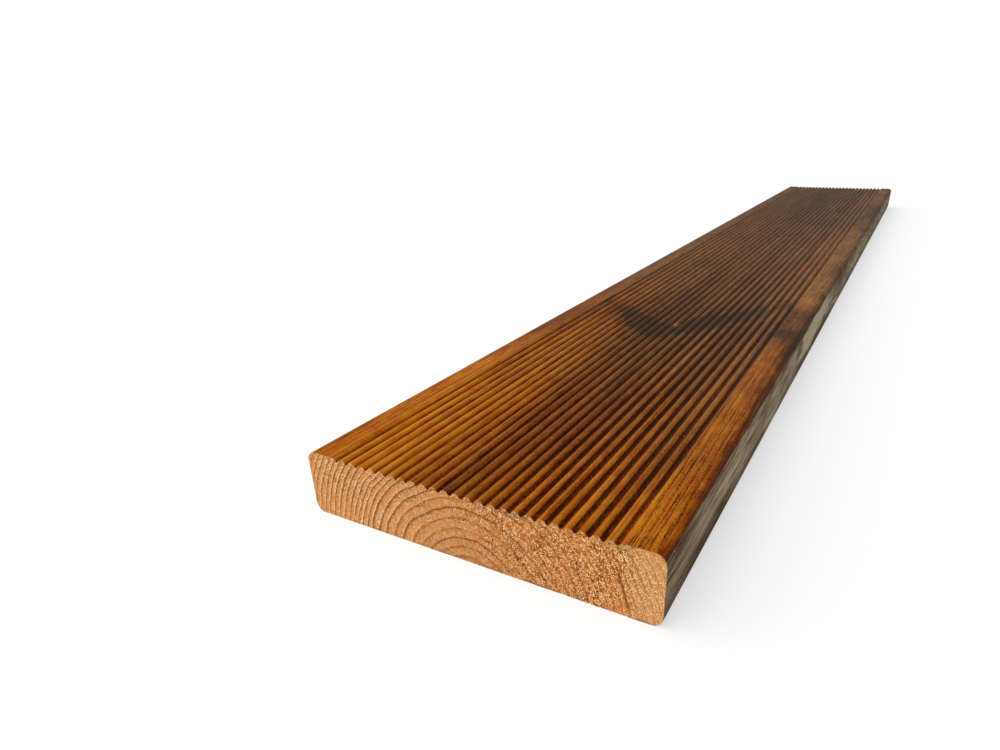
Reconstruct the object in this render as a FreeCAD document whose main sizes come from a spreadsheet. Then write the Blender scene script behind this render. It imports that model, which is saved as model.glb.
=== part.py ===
"""Ribbed decking board: one moulded length of softwood, ribbed face up, smooth face down.

Frame: X across the width, Y along the length, Z up, with the origin at the centre of the underside.
Lengths are in millimetres.
"""

import FreeCAD, Part
import enum
import math
import os
import Sketcher

# Driving dimensions, each a cell of the sheet.
SIZES = {
    "board_length": 1000.0,
    "board_width": 145.0,
    "board_thickness": 27.0,
    # rounding of the four long edges
    "edge_radius": 4.0,
    # spacing of the ribs across the ribbed face
    "rib_pitch": 4.75,
    # flat left on top of each rib between its two rounded flanks
    "rib_land": 0.1,
    "groove_depth": 1.5,
    # rounding at the root of each groove
    "groove_radius": 0.8,
    # least distance from a side of the board to the middle of its outer groove
    "shoulder_width": 15.0,
}
# How far the groove cutter stands above the ribbed face.
CUTTER_OVERRUN = 2.0

GROOVE_STEPS = "floor((sizes.board_width - 2 * sizes.shoulder_width) / sizes.rib_pitch)"
FIRST_GROOVE = f"(-{GROOVE_STEPS} * sizes.rib_pitch / 2)"
HALF_CUT = "(sizes.rib_pitch - sizes.rib_land) / 2"


class Spot(enum.IntEnum):
    """The points of a sketch line or arc, as constraints number them."""

    START = enum.auto()
    END = enum.auto()
    CENTRE = enum.auto()


class Datum(enum.IntEnum):
    """A sketch's own axes, as constraints number them."""

    Z_AXIS = -2
    X_AXIS = -1


ORIGIN = (Datum.X_AXIS, Spot.START)


def make_sheet(doc):
    """The sheet of driving dimensions, one alias to a row."""
    sheet = doc.addObject("Spreadsheet::Sheet", "sizes")
    for row, (name, value) in enumerate(SIZES.items(), start=1):
        sheet.set(f"A{row}", name)
        sheet.set(f"B{row}", str(value))
        sheet.setAlias(f"B{row}", name)
    doc.recompute()
    return sheet


def origin_feature(body, role):
    """One of the body's own origin planes or axes."""
    return next(item for item in body.Origin.OriginFeatures if item.Role == role)


def section_sketch(body, name):
    """An empty sketch on the body's XZ plane: its x is the board's X, and its y the board's Z."""
    sketch = body.newObject("Sketcher::SketchObject", name)
    sketch.AttachmentSupport = [(origin_feature(body, "XZ_Plane"), "")]
    sketch.MapMode = "FlatFace"
    return sketch


def point(x, z):
    """A sketch point from the section's X and Z."""
    return FreeCAD.Vector(x, z, 0)


def arc(centre, radius, start, end):
    """A counter-clockwise arc between two angles in degrees."""
    circle = Part.Circle(centre, FreeCAD.Vector(0, 0, 1), radius)
    return Part.ArcOfCircle(circle, math.radians(start), math.radians(end))


def constrain(sketch, kind, *where):
    """Adds a geometric constraint."""
    return sketch.addConstraint(Sketcher.Constraint(kind, *where))


def dimension(sketch, kind, *where, size):
    """Adds a dimension that follows an expression on the sheet. The last of where is its value so far."""
    index = sketch.addConstraint(Sketcher.Constraint(kind, *where))
    sketch.setExpression(f"Constraints[{index}]", size)


def draw_blank(sketch, sheet):
    """The planed section: a rectangle standing on the X axis, with its four corners rounded."""
    half, high, radius = sheet.board_width / 2, sheet.board_thickness, sheet.edge_radius
    corners = [(half - radius, high - radius), (radius - half, high - radius),
               (radius - half, radius), (half - radius, radius)]
    top = sketch.addGeometry(Part.LineSegment(point(half - radius, high), point(radius - half, high)))
    left = sketch.addGeometry(Part.LineSegment(point(-half, high - radius), point(-half, radius)))
    bottom = sketch.addGeometry(Part.LineSegment(point(radius - half, 0), point(half - radius, 0)))
    right = sketch.addGeometry(Part.LineSegment(point(half, radius), point(half, high - radius)))
    sides = [top, left, bottom, right]
    for number, (x, z) in enumerate(corners):
        before, after = sides[number - 1], sides[number]
        corner = sketch.addGeometry(arc(point(x, z), radius, 90 * number, 90 * number + 90))
        constrain(sketch, "Tangent", before, Spot.END, corner, Spot.START)
        constrain(sketch, "Tangent", corner, Spot.END, after, Spot.START)
        dimension(sketch, "Radius", corner, radius, size="sizes.edge_radius")
    constrain(sketch, "Horizontal", top)
    for line in (left, right):
        constrain(sketch, "Vertical", line)
    constrain(sketch, "PointOnObject", bottom, Spot.START, Datum.X_AXIS)
    constrain(sketch, "Symmetric", bottom, Spot.START, bottom, Spot.END, Datum.Z_AXIS)
    dimension(sketch, "DistanceX", left, Spot.START, right, Spot.START, 2 * half, size="sizes.board_width")
    dimension(sketch, "DistanceY", bottom, Spot.START, top, Spot.END, high, size="sizes.board_thickness")


def draw_groove(sketch, sheet):
    """The cutter for the first groove: a rounded root between two convex flanks.

    Each flank leaves the rib's land level and meets the root at a tangent, so that its radius follows.
    """
    steps = int((sheet.board_width - 2 * sheet.shoulder_width) // sheet.rib_pitch)
    middle, half_cut = -steps * sheet.rib_pitch / 2, (sheet.rib_pitch - sheet.rib_land) / 2
    top, root_radius, depth = sheet.board_thickness, sheet.groove_radius, sheet.groove_depth
    radii = (half_cut**2 + depth**2) / (2 * depth)
    flank_radius = radii - root_radius
    lean = math.degrees(math.acos(half_cut / radii))
    above = top + CUTTER_OVERRUN
    root = sketch.addGeometry(
        arc(point(middle, top - depth + root_radius), root_radius, 180 + lean, 360 - lean))
    flanks = [
        sketch.addGeometry(arc(point(middle - half_cut, top - flank_radius), flank_radius, lean, 90)),
        sketch.addGeometry(arc(point(middle + half_cut, top - flank_radius), flank_radius, 90, 180 - lean)),
    ]
    left = sketch.addGeometry(
        Part.LineSegment(point(middle - half_cut, top), point(middle - half_cut, above)))
    lid = sketch.addGeometry(
        Part.LineSegment(point(middle - half_cut, above), point(middle + half_cut, above)))
    right = sketch.addGeometry(
        Part.LineSegment(point(middle + half_cut, above), point(middle + half_cut, top)))
    constrain(sketch, "Tangent", flanks[0], Spot.START, root, Spot.START)
    constrain(sketch, "Tangent", flanks[1], Spot.END, root, Spot.END)
    rims = [(flanks[0], Spot.END, left, Spot.START), (flanks[1], Spot.START, right, Spot.END)]
    for flank, rim, line, near in rims:
        constrain(sketch, "Coincident", flank, rim, line, near)
        constrain(sketch, "Vertical", flank, rim, flank, Spot.CENTRE)
        constrain(sketch, "Vertical", line)
        dimension(sketch, "DistanceY", *ORIGIN, flank, rim, top, size="sizes.board_thickness")
    constrain(sketch, "Coincident", left, Spot.END, lid, Spot.START)
    constrain(sketch, "Coincident", lid, Spot.END, right, Spot.START)
    constrain(sketch, "Horizontal", lid)
    dimension(sketch, "DistanceX", flanks[0], Spot.END, root, Spot.CENTRE, half_cut, size=HALF_CUT)
    dimension(sketch, "DistanceX", root, Spot.CENTRE, flanks[1], Spot.START, half_cut, size=HALF_CUT)
    dimension(sketch, "DistanceX", *ORIGIN, root, Spot.CENTRE, middle, size=FIRST_GROOVE)
    dimension(sketch, "Radius", root, root_radius, size="sizes.groove_radius")
    dimension(sketch, "DistanceY", *ORIGIN, root, Spot.CENTRE, top - depth + root_radius,
              size="sizes.board_thickness - sizes.groove_depth + sizes.groove_radius")
    sketch.addConstraint(Sketcher.Constraint("DistanceY", left, Spot.START, left, Spot.END, CUTTER_OVERRUN))


def make_board(doc, sheet):
    """The board: the planed blank, with one groove cut along it and repeated across its top face."""
    body = doc.addObject("PartDesign::Body", "decking_board")
    body.Label = "decking_board"

    blank_section = section_sketch(body, "blank_section")
    draw_blank(blank_section, sheet)
    blank = body.newObject("PartDesign::Pad", "blank")
    blank.Profile = blank_section
    blank.SideType = "Symmetric"
    blank.setExpression("Length", "sizes.board_length")
    doc.recompute()

    groove_section = section_sketch(body, "groove_section")
    draw_groove(groove_section, sheet)
    groove = body.newObject("PartDesign::Pocket", "groove")
    groove.Profile = groove_section
    groove.Type = "ThroughAll"
    groove.SideType = "Symmetric"
    doc.recompute()

    ribs = body.newObject("PartDesign::LinearPattern", "ribs")
    ribs.Originals = [groove]
    ribs.Direction = (origin_feature(body, "X_Axis"), [""])
    ribs.setExpression("Length", f"{GROOVE_STEPS} * sizes.rib_pitch")
    ribs.setExpression("Occurrences", f"{GROOVE_STEPS} + 1")
    body.Tip = ribs
    doc.recompute()
    return body


def check(doc, parts):
    """Stops if an object failed or a sub-part has no valid shape."""
    for item in doc.Objects:
        if {"Invalid", "Error"} & set(item.State):
            raise RuntimeError(f"{item.Name} failed: {item.State}")
    for part in parts:
        if part.Shape.isNull() or not part.Shape.isValid() or not part.Shape.Solids:
            raise RuntimeError(f"{part.Label} has no valid solid")


def main():
    doc = FreeCAD.newDocument("decking_board")
    parts = [make_board(doc, make_sheet(doc))]
    check(doc, parts)
    os.makedirs("parts", exist_ok=True)
    for part in parts:
        part.Shape.exportStep(f"parts/{part.Label}.step")


main()
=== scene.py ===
"""A ribbed softwood decking board, oiled, with one weathered edge and bare sawn ends, on a pale studio floor.

The frame is the part's own: X across the board, Y along it, Z up, with the origin at the middle of the
underside. The end at -Y faces the camera. Sizes are in millimetres until a mesh is made, and in metres after.
"""

from __future__ import annotations

import logging
import math
from dataclasses import dataclass, field
from enum import Enum
from typing import Any

import bpy
import numpy as np
from mathutils import Matrix, Vector
from mathutils.geometry import delaunay_2d_cdt

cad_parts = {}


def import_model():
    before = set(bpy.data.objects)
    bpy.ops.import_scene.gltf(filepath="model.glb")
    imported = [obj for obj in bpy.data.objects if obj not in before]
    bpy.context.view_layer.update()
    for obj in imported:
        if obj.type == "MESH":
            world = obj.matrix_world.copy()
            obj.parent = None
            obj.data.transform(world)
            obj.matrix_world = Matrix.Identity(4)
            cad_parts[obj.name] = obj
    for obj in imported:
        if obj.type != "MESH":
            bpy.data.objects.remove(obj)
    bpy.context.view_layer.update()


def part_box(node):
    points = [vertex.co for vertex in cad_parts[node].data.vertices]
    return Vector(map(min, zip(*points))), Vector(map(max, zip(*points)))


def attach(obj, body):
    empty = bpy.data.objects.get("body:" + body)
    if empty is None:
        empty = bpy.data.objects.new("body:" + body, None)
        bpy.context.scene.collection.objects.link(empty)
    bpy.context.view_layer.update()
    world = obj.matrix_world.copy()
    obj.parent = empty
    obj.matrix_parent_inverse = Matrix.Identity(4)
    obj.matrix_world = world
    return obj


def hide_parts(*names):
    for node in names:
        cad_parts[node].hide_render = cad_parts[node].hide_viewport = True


LOG = logging.getLogger("decking_board")
MM = 0.001
IMAGE_WIDTH, IMAGE_HEIGHT = 1000, 750
# Sockets of a Mix node for colours, by number, because several of them share a name.
MIX_SHARE, MIX_FROM, MIX_TO, MIX_RESULT = 0, 6, 7, 2
# Large odd numbers and bit shifts that turn a place on a lattice into a random value.
PLACE_FACTORS = (73856093, 19349663, 83492791)
SEED_FACTOR = 2654435761
SCRAMBLES = ((15, 2246822519), (13, 3266489917))
# The kind of triangulation that leaves nothing outside the outline, and how near two points count as one.
KEEP_INSIDE, SAME_POINT = 1, 1e-6
Numbers = np.ndarray
Outline = list[tuple[float, float]]
Span = tuple[float, float]


def linear(hex_colour: str) -> tuple[float, float, float, float]:
    """Turns an sRGB hex colour into a linear one.

    Args:
        hex_colour: Six hex digits after a hash sign.

    Returns:
        Linear red, green, blue and an alpha of 1.
    """
    values = [int(hex_colour[place:place + 2], 16) / 255 for place in (1, 3, 5)]
    red, green, blue = (v / 12.92 if v <= 0.04045 else ((v + 0.055) / 1.055) ** 2.4 for v in values)
    return red, green, blue, 1.0


def add_node(
    tree: bpy.types.NodeTree,
    kind: str,
    inputs: dict[str | int, Any] | None = None,
    stops: tuple[tuple[float, str | float], ...] = (),
    **settings: Any,
) -> bpy.types.Node:
    """Adds a node with its settings and links.

    Args:
        tree: The node tree that gets the node.
        kind: The node's type name.
        inputs: Input names or numbers, each with the node or socket that feeds it or its plain value.
        stops: Where the node has a ramp, its places between 0 and 1 with a hex colour or grey level each.
        **settings: Properties of the node itself.

    Returns:
        The new node.
    """
    node = tree.nodes.new(kind)
    for name, value in settings.items():
        setattr(node, name, value)
    for key, value in (inputs or {}).items():
        source = value.outputs[0] if isinstance(value, bpy.types.Node) else value
        if isinstance(source, bpy.types.NodeSocket):
            tree.links.new(source, node.inputs[key])
        else:
            node.inputs[key].default_value = source
    for number, (position, colour) in enumerate(stops):
        elements = node.color_ramp.elements
        element = elements[number] if number < len(elements) else elements.new(position)
        element.position = position
        element.color = linear(colour) if isinstance(colour, str) else (colour, colour, colour, 1.0)
    return node


def empty_material(name: str) -> bpy.types.Material:
    """Makes a node material that has no nodes yet.

    Args:
        name: The material's name.

    Returns:
        The material.
    """
    material = bpy.data.materials.new(name)
    material.use_nodes = True
    material.node_tree.nodes.clear()
    return material


def rise(low: float | Numbers, high: float | Numbers, values: Numbers) -> Numbers:
    """A soft step from 0 at low to 1 at high."""
    share = np.clip((values - low) / (high - low), 0.0, 1.0)
    return share * share * (3 - 2 * share)


def fall(low: float, high: float, values: Numbers) -> Numbers:
    """A soft step from 1 at low to 0 at high."""
    return 1 - rise(low, high, values)


def bell(values: Numbers, middle: float, width: float) -> Numbers:
    """A soft bump: 1 in the middle, and about a third at the width to either side."""
    return np.exp(-(((values - middle) / width) ** 2))


def lattice_noise(points: Numbers, cell: tuple[float, float, float], seed: int) -> Numbers:
    """Smooth random values on a lattice.

    Args:
        points: Rows of X, Y and Z in millimetres.
        cell: The lattice's cell along X, Y and Z in millimetres.
        seed: A number that picks one pattern out of many.

    Returns:
        One value between 0 and 1 for each point.
    """
    scaled = points / np.array(cell)
    low = np.floor(scaled).astype(np.int64)
    share = scaled - low
    blend = share * share * (3 - 2 * share)
    total = np.zeros(len(points))
    for corner in np.ndindex(2, 2, 2):
        step = np.array(corner)
        mixed = (low + step).astype(np.uint64) * np.array(PLACE_FACTORS, np.uint64)
        code = mixed[:, 0] ^ mixed[:, 1] ^ mixed[:, 2] ^ np.uint64(seed * SEED_FACTOR)
        for shift, factor in SCRAMBLES:
            code = (code ^ (code >> np.uint64(shift))) * np.uint64(factor)
        value = ((code >> np.uint64(16)) & np.uint64(0xFFFF)).astype(float) / 0xFFFF
        total += np.prod(np.where(step == 1, blend, 1 - blend), axis=1) * value
    return total


class Layer(str, Enum):
    """The board's own measures that its finishes read, one value to a vertex."""

    # Years out from the pith, with the share of a year's growth as the fraction.
    RING = "ring"
    # How light the oil is, with painted shade and light on the ribs and a painted sheen on the bare edge, how
    # dull with age and with painted sheen, how specked and how streaked.
    TONE = "tone"
    AGE = "age"
    SPECK = "speck"
    STREAK = "streak"
    # The dark stain round a branch, and the edge that has no oil left, whose grey is partly a painted
    # reflection of the floor.
    STAIN = "stain"
    WEATHERED_AND_SHEEN = "weathered"
    # The sawn ends: their height, which also paints shade and highlight into their colour, how torn and how
    # ridged they are, the years' lines, and what colours them.
    RELIEF = "relief"
    TORN = "torn"
    RIDGED = "ridged"
    LINE = "line"
    STRAW = "straw"
    SOIL = "soil"
    SPLIT = "split"
    # Millimetres out from the pith and round it.
    GROWTH = "growth"


class Slot(int, Enum):
    """Which of the board's two finishes a face has."""

    OILED = 0
    SAWN = 1


LayerValues = dict[Layer, Numbers]
LayerSockets = dict[Layer, bpy.types.NodeSocket]


@dataclass(frozen=True)
class Profile:
    """A measure that changes along one direction: places in millimetres, and the value at each."""

    places: tuple[float, ...]
    values: tuple[float, ...]

    def at(self, where: Numbers) -> Numbers:
        """The measure at each place, straight between two given ones."""
        return np.interp(where, self.places, self.values)


@dataclass(frozen=True)
class Ripple:
    """Smooth unevenness: its cell in millimetres along three axes, how far it goes in all, and its seed."""

    cell: tuple[float, float, float]
    reach: float
    seed: int

    def noise(self, points: Numbers) -> Numbers:
        """The pattern itself, from 0 to 1."""
        return lattice_noise(points, self.cell, self.seed)

    def at(self, points: Numbers) -> Numbers:
        """The unevenness at each point, up to half its reach to either side of 0."""
        return self.reach * (self.noise(points) - 0.5)


@dataclass(frozen=True)
class Section:
    """The moulded section: a rounded rectangle with rounded ribs between two plain shoulders."""

    width: float
    thickness: float
    edge_radius: float = 4.0
    rib_pitch: float = 4.75
    rib_land: float = 0.1
    groove_depth: float = 1.5
    groove_radius: float = 0.8
    groove_count: int = 25
    # How many points each stretch has. A flat has several, because its points carry the wood's measures.
    underside_steps: int = 48
    edge_steps: int = 10
    corner_steps: int = 6
    shoulder_steps: int = 14
    groove_steps: int = 4

    @property
    def half(self) -> float:
        """Half the board's width."""
        return self.width / 2

    @property
    def half_cut(self) -> float:
        """Half a groove's width, between the lands of its two ribs."""
        return (self.rib_pitch - self.rib_land) / 2

    @property
    def outer_groove(self) -> float:
        """How far the outer grooves are from the middle."""
        return (self.groove_count - 1) * self.rib_pitch / 2

    @property
    def shoulder(self) -> float:
        """How far the flat shoulders' inner edges are from the middle."""
        return self.outer_groove + self.half_cut

    def arc(self, x: float, z: float, radius: float, start: float, end: float, steps: int) -> Outline:
        """Points of an arc round a centre, between two angles in degrees, without its last one."""
        angles = np.radians(np.linspace(start, end, steps, endpoint=False))
        return [(x + radius * math.cos(a), z + radius * math.sin(a)) for a in angles]

    def straight(self, start: Span, end: Span, steps: int) -> Outline:
        """Points of a straight stretch without its last one."""
        return [tuple(p) for p in np.linspace(start, end, steps, endpoint=False)]

    def ribbed_top(self) -> Outline:
        """Draws the grooves and the ribs between them, each groove's root tangent to its two flanks.

        Returns:
            X and Z of each point, from the right shoulder to the left one.
        """
        cut, steps = self.half_cut, self.groove_steps
        radii = (cut**2 + self.groove_depth**2) / (2 * self.groove_depth)
        flank = radii - self.groove_radius
        lean = math.degrees(math.acos(cut / radii))
        root = self.thickness - self.groove_depth + self.groove_radius
        points: Outline = []
        for number in range(self.groove_count):
            middle = self.outer_groove - number * self.rib_pitch
            points += self.arc(middle + cut, self.thickness - flank, flank, 90, 180 - lean, steps)
            points += self.arc(middle, root, self.groove_radius, 360 - lean, 180 + lean, steps)
            points += self.arc(middle - cut, self.thickness - flank, flank, lean, 90, steps)
            points.append((middle - cut, self.thickness))
        return points

    def outline(self) -> Numbers:
        """Draws the whole outline.

        Returns:
            X and Z of each point, counter-clockwise seen from the near end, from the underside's left.
        """
        half, high, radius = self.half, self.thickness, self.edge_radius
        flat = half - radius
        points = self.straight((-flat, 0), (flat, 0), self.underside_steps)
        points += self.arc(flat, radius, radius, -90, 0, self.corner_steps)
        points += self.straight((half, radius), (half, high - radius), self.edge_steps)
        points += self.arc(flat, high - radius, radius, 0, 90, self.corner_steps)
        points += self.straight((flat, high), (self.shoulder, high), self.shoulder_steps)
        points += self.ribbed_top()
        points += self.straight((-self.shoulder, high), (-flat, high), self.shoulder_steps)[1:]
        points += self.arc(-flat, high - radius, radius, 90, 180, self.corner_steps)
        points += self.straight((-half, high - radius), (-half, radius), self.edge_steps)
        points += self.arc(-flat, radius, radius, 180, 270, self.corner_steps)
        return np.array(points)


@dataclass(frozen=True)
class Surface:
    """Points of the board in the terms that its oil, wear and saw marks follow, one value to a point."""

    points: Numbers
    section: Section
    # Y of the near end.
    near: float
    # How high the underside's measures reach, and where the left half blends into the right one.
    under_height: float = 0.5
    blend: Span = (-20, 20)
    # The height of a cell of what differs from rib to rib, so tall that a rib is the same from root to crest.
    rib_cell_height: float = 60.0

    @property
    def x(self) -> Numbers:
        """Millimetres to the right of the board's middle."""
        return self.points[:, 0]

    @property
    def along(self) -> Numbers:
        """Millimetres from the near end."""
        return self.points[:, 1] - self.near

    @property
    def z(self) -> Numbers:
        """Millimetres above the underside."""
        return self.points[:, 2]

    @property
    def upper(self) -> Numbers:
        """Whether a point is in the board's upper half."""
        return self.z > self.section.thickness / 2

    @property
    def under(self) -> Numbers:
        """Whether it is on the underside."""
        return self.z < self.under_height

    @property
    def ribbed(self) -> Numbers:
        """Whether it is on the ribs and grooves."""
        return (abs(self.x) < self.section.shoulder) & self.upper

    @property
    def right(self) -> Numbers:
        """How far it belongs to the board's right half, from 0 to 1."""
        return rise(*self.blend, self.x)

    @property
    def beside(self) -> Numbers:
        """Millimetres to the right of the middle of the nearest groove."""
        pitch = self.section.rib_pitch
        return pitch * ((self.x / pitch + 0.5) % 1 - 0.5)

    def by_rib(self, length: float, seed: int) -> Numbers:
        """Smooth random values that each rib has for itself.

        Args:
            length: How far along the board a value lasts, in millimetres.
            seed: A number that picks one pattern out of many.

        Returns:
            One value between -0.5 and 0.5 for each point.
        """
        pitch = self.section.rib_pitch
        crests = self.points + np.array([pitch / 2, 0, 0])
        return lattice_noise(crests, (pitch, length, self.rib_cell_height), seed) - 0.5


@dataclass(frozen=True)
class GrowthRings:
    """The tree that the board was sawn from: its pith runs along the board, a little below the underside."""

    pith_x: float = 2.1
    pith_z: float = -11.4
    # How the pith winds: how far to the right, and the radians of that wave in a metre of board.
    winding: tuple[Span, ...] = ((9.0, 2.3), (-5.0, 6.1))
    # How far it sinks in a metre, and the wave in which it dips on the way.
    sink: float = 6.0
    dip: Span = (2.4, 7.0)
    # Rings aren't quite round.
    ripples: tuple[Ripple, ...] = (Ripple((17, 240, 17), 1.0, 3), Ripple((5, 120, 5), 0.7, 4))
    # How far from the near end a branch grew out of the pith, and how far it pushed the rings out round it.
    branch: float = 206.0
    swelling: float = 5.5
    swelling_length: float = 45.0
    swelling_width: float = 40.0
    # The branch's stain is a V that opens towards the far end: its point, its two slopes and its roundness.
    fork_x: float = -4.0
    fork_slopes: Span = (1.0, 1.4)
    fork_radius: float = 6.0
    # Radii at which a year's growth ends: wide rings near the pith and narrow ones further out.
    edges: tuple[float, ...] = (
        0.0, 5.0, 9.4, 13.6, 17.5, 21.2, 24.7, 29.0, 33.2, 37.0, 40.5, 43.8, 47.4, 49.6, 51.8, 53.9, 56.1,
        58.6, 61.2, 63.8, 66.4, 69.0, 71.4, 73.9, 76.4, 78.6, 80.9, 83.1, 85.4, 87.6, 90.0, 100.0)
    # The ones that end in a bold dark line, and how dark the other lines are beside them.
    bold: tuple[float, ...] = (21.2, 33.2, 40.5, 43.8, 47.4, 61.2)
    faint: float = 0.42

    def polar(self, board: Surface) -> tuple[Numbers, Numbers]:
        """Where each point is as seen from the pith.

        Args:
            board: The board's points.

        Returns:
            The distance from the pith, and the angle round it.
        """
        metres = board.along * MM
        across = board.x - self.pith_x
        for reach, turns in self.winding:
            across = across - reach * np.sin(turns * metres)
        depth, turns = self.dip
        up = board.z - self.pith_z + self.sink * metres + depth * np.sin(turns * metres)
        radius = np.hypot(across, up)
        for ripple in self.ripples:
            radius = radius + ripple.at(board.points)
        swollen = bell(board.along, self.branch, self.swelling_length) * bell(across, 0, self.swelling_width)
        return radius - self.swelling * swollen, np.arctan2(across, up)

    def number(self, radius: Numbers) -> Numbers:
        """Which year's ring each radius lies in, with the share of that year's growth as its fraction."""
        return np.interp(radius, self.edges, np.arange(len(self.edges)))

    def boldness(self, ring: Numbers) -> Numbers:
        """How dark the line is that ends each point's ring, from 0 to 1."""
        ends = np.array(self.edges)[np.clip(np.floor(ring).astype(int) + 1, 0, len(self.edges) - 1)]
        return np.where(np.isin(ends, self.bold), 1.0, self.faint)

    def beyond_fork(self, board: Surface) -> Numbers:
        """How far each point is from the V that the branch left across the ribs.

        Args:
            board: The board's points.

        Returns:
            Millimetres, above 0 on the far side of the V.
        """
        offset = board.x - self.fork_x
        slope = np.where(offset < 0, *self.fork_slopes)
        bend = np.sqrt(offset**2 + self.fork_radius**2) - self.fork_radius
        return (board.along - self.branch - slope * bend) / np.sqrt(1 + slope**2)


@dataclass(frozen=True)
class Patch:
    """A soft patch on the upper face: its middle, its reach across and along, and how it changes the oil."""

    x: float
    along: float
    wide: float
    long: float
    lift: float = 0.0
    age: float = 0.0

    def share(self, board: Surface) -> Numbers:
        """How much of the patch each point has, from 0 to 1."""
        return bell(board.x, self.x, self.wide) * bell(board.along, self.along, self.long) * board.upper


@dataclass(frozen=True)
class OilWearAndPaintedLight:
    """How the oil lies on the planed faces: how light and how dull it is, and where it is specked or stained,
    with painted shade in the grooves, painted light and sheen on the ribs' sides, and painted sheen on the
    bare edge.

    Lengths are in millimetres: across from the board's middle, along from its near end, up from its
    underside and beside the middle of a groove. A pair of them is where a soft change starts and ends. A tone
    is 0 for the darkest oil and 1 for the lightest, and an age is 0 for fresh oil and 1 for dull oil.
    """

    # How light the upper face is across the board: amber at the left, dark over the pith, amber at the right.
    across: Profile = Profile(
        (-72.5, -62, -50, -36, -24, -10, 8, 20, 32, 46, 58, 66, 72.5),
        (0.64, 0.84, 0.90, 0.88, 0.80, 0.64, 0.58, 0.66, 0.70, 0.74, 0.80, 0.77, 0.56))
    # Further along, the whole width goes part of the way to one tone.
    evens_out: Span = (180, 480)
    even_share: float = 0.5
    even_tone: float = 0.72
    # How much darker it gets along the board, on its left and on its right.
    dark_left: Profile = Profile(
        (0, 20, 80, 150, 190, 225, 300, 520, 820), (0.0, 0.0, 0.05, 0.12, 0.23, 0.35, 0.25, 0.33, 0.48))
    dark_right: Profile = Profile(
        (0, 20, 80, 150, 190, 225, 300, 520, 820), (0.0, 0.0, 0.13, 0.11, 0.15, 0.23, 0.13, 0.27, 0.46))
    # How much one rib's tone differs from the next one's, and how much more on the right. Here and below, a
    # pair of a length and a whole number is how far along the board a rib stays the same, and a seed.
    rib_contrast: float = 0.12
    rib_contrast_right: float = 0.22
    rib_tones: tuple[float, int] = (170.0, 41)
    # The grooves' dark roots, oil gathered there with painted shade over it, which on the right of the board
    # also covers the ribs' right-facing sides: how far they reach to the left, how soft that side is, where
    # they end to the right, and how much darker they are. On the right of the board they are wider and
    # darker.
    root_reach: float = 0.6
    root_reach_right: float = 0.4
    root_blur: float = 0.35
    root_end: Span = (0.5, 0.8)
    root_dark: float = 0.38
    root_dark_right: float = 0.08
    root_right: Span = (4, 30)
    # Along the board most of that darkness is lost.
    root_fades: Span = (230, 520)
    root_loss: float = 0.85
    # On the left of the board, the ribs' sides that face right are a little lighter: painted light that takes
    # back part of their shade.
    flank_start: Span = (-2.2, -1.5)
    flank_end: Span = (-0.9, -0.5)
    flank_painted_light: float = 0.05
    # The rounded long edges are darker: how far in from the side that starts and ends.
    rim: Span = (3.4, 0.5)
    rim_dark: float = 0.3
    under_tone: float = 0.66
    # The right edge has no oil left, and its grey is partly a painted reflection of the floor: how far in
    # from the side that starts and ends, and above which height.
    bare_rim: Span = (0.95, 0.05)
    bare_from: float = 1.0
    # Where its own tone takes over, what that is, and the clouds in it, which get fainter along the board.
    bare_depth: float = 0.2
    bare_middle: float = 0.5
    cloud: Ripple = Ripple((14, 62, 7), 1.0, 53)
    cloud_contrast: float = 0.9
    cloud_fades: Span = (300, 500)
    cloud_loss: float = 0.4
    # Painted sheen and shade on the bare side: lighter or darker along the board, in a band at mid height
    # that is lighter in the middle and darker at the top and bottom, and round one place, where it is dark
    # low down and pale high up.
    painted_side_light: Profile = Profile((0, 60, 150, 330, 600, 1000), (0.06, -0.2, 0.12, -0.04, -0.2, -0.2))
    band_height: float = 14.0
    band_reach: float = 11.0
    band_middle: float = 0.5
    band_weight: float = 0.3
    stretch_height: Span = (3, 13)
    stretch_middle: float = 0.6
    stretch_along: float = 270.0
    stretch_reach: float = 80.0
    # Uneven oil on the shoulders and edges, more on the right, and from where along the board.
    uneven: Ripple = Ripple((14, 26, 40), 1.0, 51)
    uneven_contrast: float = 0.2
    uneven_contrast_right: float = 0.3
    uneven_starts: Span = (10, 90)
    # How dull the oil turns along the board, partly a painted sheen as seen at a grazing angle, with an
    # uneven start, and how much that differs from rib to rib.
    dull_sheen_span: Span = (20, 360)
    dull_sheen_share: float = 0.9
    dull_sheen_start: Ripple = Ripple((40, 120, 40), 110.0, 21)
    rib_ages: tuple[float, int] = (140.0, 47)
    rib_age_contrast: float = 0.5
    rib_age_starts: Span = (-20, 80)
    under_age: float = 0.2
    # A painted sheen, drawn as dull oil, on the sides of the ribs that face left, up to the crest: how strong
    # it is beside a groove's middle and across the board, where that ends along it, and how much weaker it is
    # on the right half at the near end.
    sheen_beside_groove: Profile = Profile((-2.4, -1.2, -0.5, 0.6, 1.1, 1.9, 2.4), (0.6, 0.3, 0, 0, 0.9, 1, 0.6))
    sheen_across: Profile = Profile((-45, -22, 0, 24, 46), (0.05, 0.4, 0.8, 0.55, 0.5))
    sheen_ends: Span = (150, 320)
    sheen_starts_right: Span = (10, 80)
    sheen_loss_right: float = 0.6
    # How specked the ribs are, and the shoulders and edges, which are most specked at the near end.
    rib_specks: float = 0.38
    rib_specks_right: float = 0.16
    side_specks: float = 0.25
    near_specks: float = 0.3
    near_specks_right: float = 0.45
    near_specks_end: Span = (80, 200)
    # Along the board, and towards the bare edge, there are fewer.
    specks_fade: Span = (200, 500)
    specks_loss: float = 0.5
    specks_edge: Span = (67, 71)
    specks_edge_loss: float = 0.7
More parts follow.
